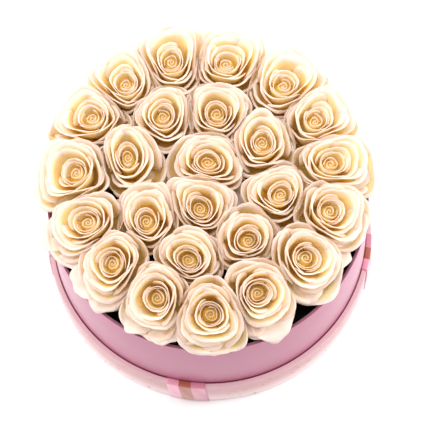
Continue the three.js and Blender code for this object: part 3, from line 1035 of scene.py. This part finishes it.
def cell_reach(rose, roses, x, y):
    """How far a rose may reach in plan in the directions (x, y): about half way to each neighbour, a little
    further over the one behind it, and to its reach from the middle of the box. The first result is the
    rounded cell of its head, the second the whole cell."""
    whole = np.full(x.shape, np.inf)
    pull = np.full(x.shape, float(rose["largest"]) ** -CELL_ROUNDNESS)
    for other in roses:
        if other is rose:
            continue
        dx, dy = (other["middle"] - rose["middle"])[:2]
        apart = math.hypot(dx, dy)
        share = np.maximum((dx * x + dy * y) / apart, TINY)
        half = apart / 2 + BACK_OVERLAP * dy / apart
        whole = np.minimum(whole, (half + GUARD_OVERLAP) / share)
        pull = pull + ((half - CELL_MARGIN) / share) ** -CELL_ROUNDNESS
    along = rose["middle"][0] * x + rose["middle"][1] * y
    square = rose["middle"][0] ** 2 + rose["middle"][1] ** 2
    pull = pull + (np.sqrt(along ** 2 - square + rose["reach"] ** 2) - along) ** -CELL_ROUNDNESS
    head = pull ** (-1 / CELL_ROUNDNESS)
    edge = np.sqrt(along ** 2 - square + (rose["reach"] + GUARD_REACH) ** 2) - along
    return head, np.minimum(np.minimum(whole, edge), head * GUARD_SHARE)


def pressed(rose, roses, points, room):
    """Bloom points spread over the rose's own cell, kept inside their petal's share of its room, and lifted
    clear of the box's rim."""
    offset = points[:, :2] - rose["middle"][:2]
    distance = np.maximum(np.hypot(offset[:, 0], offset[:, 1]), TINY)
    head, whole = cell_reach(rose, roses, offset[:, 0] / distance, offset[:, 1] / distance)
    spread = lerp(1, head / HEAD_RADIUS, smooth(distance / HEAD_RADIUS))
    squeeze = spread * (1 + (distance * spread / (whole * room)) ** CELL_FIRMNESS) ** (-1 / CELL_FIRMNESS)
    result = points.copy()
    result[:, :2] = rose["middle"][:2] + offset * squeeze[:, None]
    inside = BOX_RADIUS - BOX_WALL - RIM_CLEARANCE
    over_rim = smooth((np.hypot(result[:, 0], result[:, 1]) - inside + RIM_LIFT_WIDTH) / RIM_LIFT_WIDTH)
    result[:, 2] += over_rim * np.maximum(0, BOX_RIM + RIM_CLEARANCE - result[:, 2])
    return result


def bezier(controls, share):
    """Points of a cubic curve with four (radius, height) controls."""
    a, b, c, d = controls
    t = share[..., None]
    return (1 - t) ** 3 * a + 3 * (1 - t) ** 2 * t * b + 3 * (1 - t) * t * t * c + t ** 3 * d


def shares_of_sheet(rows, columns, start=-1):
    """The places of a sheet's points across it, from start to 1, and along it, from 0 to 1."""
    return np.linspace(start, 1, columns + 1)[None, :], np.linspace(0, 1, rows + 1)[:, None]


def round_axis(radius, angle, height):
    """Points at a radius, an angle and a height, which may be of different shapes."""
    return np.stack(np.broadcast_arrays(radius * np.cos(angle), radius * np.sin(angle), height), axis=2)


def petal_sheet(controls, openness, heading, half_span, settings, draw):
    """One petal in its bloom's own axes: a cupped sheet round the axis, broadest near the lip, whose lip
    rolls back on both sides of a soft point and whose edge waves a little."""
    across, along = shares_of_sheet(settings.rows, settings.columns)
    along = 1 - (1 - along) ** ROW_CROWDING
    tip = draw.uniform(-TIP_STRAY, TIP_STRAY)
    side = np.minimum(np.abs(across - tip * (1 - across ** 2)), 1)
    drop = lerp(*SIDE_DROP, openness) * (1 - (1 - side ** LIP_SQUARENESS) ** LIP_ROUNDNESS)
    point = lerp(*POINT, openness) * draw.uniform(*POINT_RANGE)
    line = bezier(controls, along * (1 - drop) * (1 - point * side))
    step = np.diff(line, axis=0)
    size = np.hypot(step[..., 0], step[..., 1])
    middle = (along[1:] + along[:-1]) / 2
    side_curl = lerp(*SIDE_CURL, openness) * np.sin(SIDE_CURL_TURN * side) ** 2 * draw.uniform(*CURL_RANGE)
    curl = np.radians(lerp(*LIP_CURL, openness) + side_curl)
    curl_start = lerp(*CURL_START, openness)
    slope = np.arctan2(step[..., 1], step[..., 0]) - curl * smooth((middle - curl_start) / (1 - curl_start))
    radius = np.concatenate([line[:1, :, 0], line[:1, :, 0] + np.cumsum(size * np.cos(slope), axis=0)])
    height = np.concatenate([line[:1, :, 1], line[:1, :, 1] + np.cumsum(size * np.sin(slope), axis=0)])
    span = np.radians(half_span) * lerp(ROOT_WIDTH, 1, np.sqrt(along)) * across
    # A broad petal is flatter than a circle round the axis, so its sides stand off.
    radius = radius * (1 + FLATNESS * openness * span ** 2 * along)
    phase = draw.uniform(0, 2 * np.pi, 5)
    wave = along ** 3 * lerp(*WAVE_SIZE, openness)
    height = height + wave * waves(HEIGHT_WAVES, across, phase)
    radius = radius + wave * waves(RADIUS_WAVES, across, phase)
    # One side of a petal tucks behind its neighbour.
    radius = radius + draw.uniform(-TUCK, TUCK) * openness * across * along
    return round_axis(radius, np.radians(heading) + span, height), across, along


def drooping_sheet(rose, azimuth, reach, half_width, settings, draw):
    """A guard petal that hangs out of a bloom, in the box's own axes: beyond the rim it falls."""
    across, along = shares_of_sheet(settings.rows, settings.columns)
    phase = draw.uniform(0, 2 * np.pi, 4)
    heading = math.radians(azimuth)
    edge = 1 + along * waves(DROOP_EDGE_WAVES, across, phase)
    run = reach * along * (1 - DROOP_SHOULDER * np.abs(across) ** DROOP_SQUARENESS) * edge
    aside = half_width * lerp(DROOP_ROOT_WIDTH, 1, np.sin(DROOP_SWELLING * along)) * across
    x = rose["middle"][0] + run * math.cos(heading) - aside * math.sin(heading)
    y = rose["middle"][1] + run * math.sin(heading) + aside * math.cos(heading)
    level = max(rose["foot"][2] + DROOP_LEVEL, BOX_RIM + DROOP_CLEARANCE)
    fall = DROOP_FALL * smooth((np.hypot(x, y) - BOX_RADIUS) / DROOP_RUN)
    height = level + along * (DROOP_CUP * across ** 2 + waves(DROOP_HEIGHT_WAVES, across, phase)) - fall
    return np.stack([x, y, height], axis=2), across, lerp(DROOP_TONE, 1, along)


def scroll_sheet(draw):
    """The tight scroll of young petals in the eye of a bloom."""
    turn, along = shares_of_sheet(SCROLL_ROWS, SCROLL_COLUMNS, 0)
    angle = np.radians(draw.uniform(0, 360)) + 2 * np.pi * SCROLL_TURNS * turn ** SCROLL_TIGHTENING
    lip = smooth((along - SCROLL_LIP_START) / (1 - SCROLL_LIP_START))
    belly = 1 + SCROLL_BELLY * np.sin(np.pi * along ** SCROLL_BELLY_HEIGHT) + SCROLL_LIP * lip
    radius = lerp(SCROLL_START, SCROLL_RADIUS, turn) * belly / SCROLL_DRAWN_IN
    size, turns = SCROLL_RADIUS_WAVE
    radius = radius * (1 + size * np.sin(turns * angle + draw.uniform(*PHASE_RANGE)))
    size, turns = SCROLL_TOP_WAVE
    top = SCROLL_TOP + SCROLL_CLIMB * turn + size * np.sin(turns * angle + draw.uniform(*PHASE_RANGE))
    return round_axis(radius, angle, lerp(SCROLL_FOOT, top, along)), turn, along


def heart_sheet():
    """The closed heart that the petals spring from, which fills the depth of the bloom."""
    turn, along = shares_of_sheet(HEART_ROWS, HEART_COLUMNS, 0)
    line = bezier(HEART_LINE, along + 0 * turn)
    return round_axis(line[..., 0], 2 * np.pi * turn, line[..., 1]), turn, HEART_TONE * (1 - along)


def petal_sheets(rose, settings, draw):
    """The petals of a rose in its own axes: those of the head follow each other by the golden angle from the
    bud outwards, the guard petals stand under them. Each is (points, across, along, openness)."""
    count = settings.head_petals
    guards = settings.guard_petals
    clear = np.array([math.cos(rose["recess"]), math.sin(rose["recess"])])
    spin = draw.uniform(0, 360)
    sheets = []
    for index in range(count + guards):
        if index < count:
            heading = spin + index * GOLDEN_ANGLE + draw.uniform(-HEADING_STRAY, HEADING_STRAY)
            place = index / (count - 1)
            openness = float(np.interp(place, PLACES, OPENNESS))
            wide = draw.uniform(-WIDE_STRAY, WIDE_STRAY) * openness
            tall = draw.uniform(-TALL_STRAY, TALL_STRAY) + CROWN_RISE * math.sin(math.pi * openness)
            controls = lerp(INNER_LINE, OUTER_LINE, openness)
            controls[2:] += (wide, tall)
            half_span = lerp(INNER_SPAN, OUTER_SPAN, openness ** SPAN_GROWTH)
            set_off = smooth((place - PLACES[1]) / (PLACES[2] - PLACES[1])) * lerp(1, RECESS_KEPT, place)
        else:
            order = index - count
            heading = rose["guard"] + (guards - 1 - order) * 360 * GUARD_TURNS / guards
            heading += draw.uniform(-GUARD_STRAY, GUARD_STRAY)
            openness = 1.0
            controls = lerp(OUTER_LINE, GUARD_LINE, lerp(GUARD_NEAREST, 1, order / max(1, guards - 1)))
            half_span = GUARD_SPAN
            set_off = 0
        half_span *= draw.uniform(*SPAN_RANGE)
        points, across, along = petal_sheet(controls, openness, heading, half_span, settings, draw)
        points[..., :2] += RECESS * set_off * along[..., None] * clear
        points[..., 2] += CUP_TILT * set_off * (points[..., :2] @ clear) * along
        points[..., 2] += FACE_TILT * points[..., 1] * along
        sheets.append((points, across, along, max(BUD_TONE, openness)))
    return sheets


def drawn_out(points, rose):
    """Points stretched along the direction in which a rose is drawn out, and drawn in across it."""
    cos = math.cos(rose["toward"])
    sin = math.sin(rose["toward"])
    lengthwise = (points[:, 0] * cos + points[:, 1] * sin) * rose["stretch"] ** 0.5
    crosswise = (points[:, 1] * cos - points[:, 0] * sin) / rose["stretch"] ** 0.5
    return np.stack([
        lengthwise * cos - crosswise * sin, lengthwise * sin + crosswise * cos, points[:, 2],
    ], axis=1)


def place_pairs(across, along):
    """The (share across, share along) of each point of a sheet."""
    return np.stack(np.broadcast_arrays((across + 1) / 2, along), axis=2).reshape(-1, 2)


def bloom(rose, roses, settings, petal_skin):
    """One rose head: its heart, scroll and petals, pressed into its cell, and those that droop out of it."""
    draw = np.random.default_rng(settings.seed + sum(map(ord, rose["label"])))
    sheets = [(*heart_sheet(), 0), (*scroll_sheet(draw), BUD_TONE), *petal_sheets(rose, settings, draw)]
    shapes = [sheet.shape for sheet, *_ in sheets]
    points = []
    room = []
    petal_map = []
    bloom_map = []
    for order, (sheet, across, along, openness) in enumerate(sheets):
        points.append(drawn_out(sheet.reshape(-1, 3), rose) @ rose["turn"].T + rose["foot"])
        pairs = place_pairs(across, along)
        petal_map.append(pairs)
        bloom_map.append(np.broadcast_to((openness, order / len(sheets)), pairs.shape))
        ragged = 1 + RAGGED * np.sin(pairs[:, 0] * RAGGED_TURNS + draw.uniform(*PHASE_RANGE)) * pairs[:, 1]
        room.append(draw.uniform(*PETAL_ROOM) * ragged)
    points = [pressed(rose, roses, np.concatenate(points), np.concatenate(room))]
    for azimuth, reach, half_width in DROOPING.get(rose["label"], ()):
        sheet, across, along = drooping_sheet(rose, azimuth, reach, half_width, settings, draw)
        shapes.append(sheet.shape)
        points.append(sheet.reshape(-1, 3))
        petal_map.append(place_pairs(across, along))
        bloom_map.append(np.ones((len(points[-1]), 2)))
    faces = []
    start = 0
    for rows, columns, _ in shapes:
        faces.append(grid_faces(rows, columns, start))
        start += rows * columns
    piece = new_object(
        f"bloom_{rose['label']}", np.concatenate(points), np.concatenate(faces), [petal_skin],
        {"petal": np.concatenate(petal_map), "bloom": np.concatenate(bloom_map)},
    )
    thicken(piece, settings.thickness)
    settle(piece, "rose_petal", f"rose_{rose['label']}")


class HATBOX_OT_roses(Operator):
    """Make the rose heads"""

    bl_idname = "hatbox.roses"
    bl_label = "Roses"

    def execute(self, context):
        settings = context.scene.hatbox_roses
        petal_skin = new_material("rose_petal_skin", rose_petal, settings)
        roses = place_roses()
        for rose in roses:
            bloom(rose, roses, settings, petal_skin)
        return {"FINISHED"}


def sepal_strip(tree, given):
    """Nodes for one sepal: a flat strip from the stem outwards, whose width swells and tapers to a point,
    whose tip droops and whose edges fold up."""
    strip = add_node(tree, "GeometryNodeMeshGrid", {
        "Size X": 1.0, "Size Y": 1.0, "Vertices X": 11, "Vertices Y": 5,
    })
    spot = parts_of(tree, add_node(tree, "GeometryNodeInputPosition"))
    share = worked_out(tree, "ADD", spot["X"], 0.5)
    swelling = add_node(tree, "ShaderNodeFloatCurve", {"Value": share})
    curve = swelling.mapping.curves[0]
    curve.points[0].location = SEPAL_ROOT
    curve.points[1].location = SEPAL_TIP
    for at, wide in SEPAL_SWELLING:
        curve.points.new(at, wide)
    swelling.mapping.update()
    half = worked_out(tree, "MULTIPLY", swelling, given["Sepal Width"])
    sideways = worked_out(tree, "MULTIPLY", half, spot["Y"])
    outwards = worked_out(tree, "MULTIPLY", share, given["Sepal Length"])
    fallen = worked_out(tree, "MULTIPLY", worked_out(tree, "POWER", share, SEPAL_BEND), given["Sepal Droop"])
    aside = worked_out(tree, "ABSOLUTE", sideways)
    keel = worked_out(tree, "MULTIPLY_ADD", aside, SEPAL_FOLD, -SEPAL_KEEL * MM)
    level = worked_out(tree, "SUBTRACT", keel, fallen)
    place = vector_of(tree, X=outwards, Y=sideways, Z=level)
    shaped = add_node(tree, "GeometryNodeSetPosition", {"Geometry": strip, "Position": place})
    raised = add_node(tree, "GeometryNodeExtrudeMesh", {
        "Mesh": shaped, "Offset Scale": SEPAL_THICKNESS * MM, "Individual": False,
    }, mode="FACES")
    underside = add_node(tree, "GeometryNodeFlipFaces", {"Mesh": shaped})
    return add_node(tree, "GeometryNodeMergeByDistance", {
        "Geometry": joined(tree, raised, underside), "Distance": 0.01 * MM,
    })


def greens_tree(material):
    """Geometry nodes that put a stem, a hip and a ring of sepals on each point, along its "axis"."""
    lengths = ("Stem Radius", "Hip Radius", "Hip Length", "Sepal Length", "Sepal Width", "Sepal Droop")
    tree, given = new_tree("rose_greens", lengths, ("Sepals", "Seed"))
    axis = add_node(tree, "GeometryNodeInputNamedAttribute", {"Name": "axis"}, data_type="FLOAT_VECTOR")
    run = add_node(tree, "GeometryNodeInputNamedAttribute", {"Name": "run"}, data_type="FLOAT")
    upright = add_node(tree, "FunctionNodeAlignRotationToVector", {"Vector": axis}, axis="Z")

    # The stem is a rod of unit length below its foot, drawn out to its own length.
    rod = add_node(tree, "GeometryNodeMeshCylinder", {
        "Vertices": 12, "Side Segments": 6, "Radius": given["Stem Radius"], "Depth": 1.0,
    }, fill_type="NGON")
    hung = add_node(tree, "GeometryNodeTransform", {"Geometry": rod, "Translation": (0, 0, -0.5)})
    stretch = vector_of(tree, X=1.0, Y=1.0, Z=run)
    stems = set_out(tree, given["Geometry"], hung, Rotation=upright, Scale=stretch)

    # The hip widens from the stem to the bloom, and ends a little below it.
    cone = add_node(tree, "GeometryNodeMeshCone", {
        "Vertices": 16, "Side Segments": 3, "Radius Top": given["Hip Radius"],
        "Radius Bottom": given["Stem Radius"], "Depth": given["Hip Length"],
    }, fill_type="NGON")
    below = vector_of(tree, Z=worked_out(tree, "MULTIPLY_ADD", given["Hip Length"], -1.0, -HIP_GAP * MM))
    hip = add_node(tree, "GeometryNodeTransform", {"Geometry": cone, "Translation": below})

    # The sepals stand round the middle, each a share of a turn further on.
    ring = add_node(tree, "GeometryNodeMeshCircle", {"Vertices": given["Sepals"], "Radius": 0.0001 * MM})
    order = add_node(tree, "GeometryNodeInputIndex").outputs["Index"]
    heading = worked_out(tree, "MULTIPLY", order, worked_out(tree, "DIVIDE", 2 * math.pi, given["Sepals"]))
    sepals = set_out(tree, ring, sepal_strip(tree, given), Rotation=vector_of(tree, Z=heading))
    own_turn = add_node(tree, "FunctionNodeRandomValue", {
        "Min": 0.0, "Max": 2 * math.pi, "Seed": given["Seed"],
    }, data_type="FLOAT")
    spun = add_node(tree, "FunctionNodeAxisAngleToRotation", {"Axis": (0, 0, 1), "Angle": own_turn})
    turned = add_node(
        tree, "FunctionNodeRotateRotation", {"Rotation": upright, "Rotate By": spun}, rotation_space="LOCAL"
    )
    calyxes = set_out(tree, given["Geometry"], joined(tree, hip, sepals), Rotation=turned)
    return end_tree(tree, joined(tree, stems, calyxes), material)


class HATBOX_OT_greens(Operator):
    """Make the stems with their hips and sepals"""

    bl_idname = "hatbox.greens"
    bl_label = "Stems and sepals"

    def execute(self, context):
        settings = context.scene.hatbox_greens
        roses = place_roses()
        feet = bpy.data.meshes.new("stem_feet")
        feet.from_pydata([rose["stem_foot"] * MM for rose in roses], [], [])
        axes = np.array([rose["stem_axis"] for rose in roses])
        runs = [(rose["stem_foot"][2] - STEM_END) / rose["stem_axis"][2] * MM for rose in roses]
        feet.attributes.new("axis", "FLOAT_VECTOR", "POINT").data.foreach_set("vector", axes.ravel())
        feet.attributes.new("run", "FLOAT", "POINT").data.foreach_set("value", runs)
        ground = linked("stem_feet", feet)
        give_tree(ground, greens_tree(new_material("rose_green", leaf_green, settings.stem)), settings)
        greens = made_plain(ground, "stems_and_sepals")
        greens.data.shade_smooth()
        greens.data.set_sharp_from_angle(angle=SHARP_ANGLE)
        settle(greens, "rose_green", *[f"stem_{rose['label']}" for rose in roses])
        return {"FINISHED"}


class HATBOX_PT_panel(Panel):
    """The hat box's pieces and their settings"""

    bl_label = "Hat box"
    bl_idname = "HATBOX_PT_panel"
    bl_space_type = "VIEW_3D"
    bl_region_type = "UI"
    bl_category = "Hat box"

    def draw(self, context):
        for operator in OPERATORS:
            self.layout.operator(operator.bl_idname)
        for name in GROUPS:
            box = self.layout.box()
            settings = getattr(context.scene, name)
            for key in settings.bl_rna.properties.keys():
                if key not in ("rna_type", "name"):
                    box.prop(settings, key)


OPERATORS = (
    HATBOX_OT_stage, HATBOX_OT_box, HATBOX_OT_lid, HATBOX_OT_foam, HATBOX_OT_ribbons, HATBOX_OT_greens,
    HATBOX_OT_roses,
)
GROUPS = {
    "hatbox_boards": BoardSettings,
    "hatbox_ribbons": RibbonSettings,
    "hatbox_roses": RoseSettings,
    "hatbox_greens": GreenSettings,
    "hatbox_stage": StageSettings,
}


def register():
    """Registers the settings, the operators and the panel."""
    for name, group in GROUPS.items():
        bpy.utils.register_class(group)
        setattr(bpy.types.Scene, name, PointerProperty(type=group))
    for kind in (*OPERATORS, HATBOX_PT_panel):
        bpy.utils.register_class(kind)


def unregister():
    """Removes what register() added."""
    for kind in (HATBOX_PT_panel, *reversed(OPERATORS)):
        bpy.utils.unregister_class(kind)
    for name, group in reversed(GROUPS.items()):
        delattr(bpy.types.Scene, name)
        bpy.utils.unregister_class(group)


def main():
    """Builds the hat box piece by piece."""
    register()
    bpy.ops.hatbox.stage()
    bpy.ops.hatbox.box()
    bpy.ops.hatbox.lid()
    bpy.ops.hatbox.foam()
    bpy.ops.hatbox.ribbons()
    bpy.ops.hatbox.greens()
    bpy.ops.hatbox.roses()


if __name__ == "__main__":
    main()
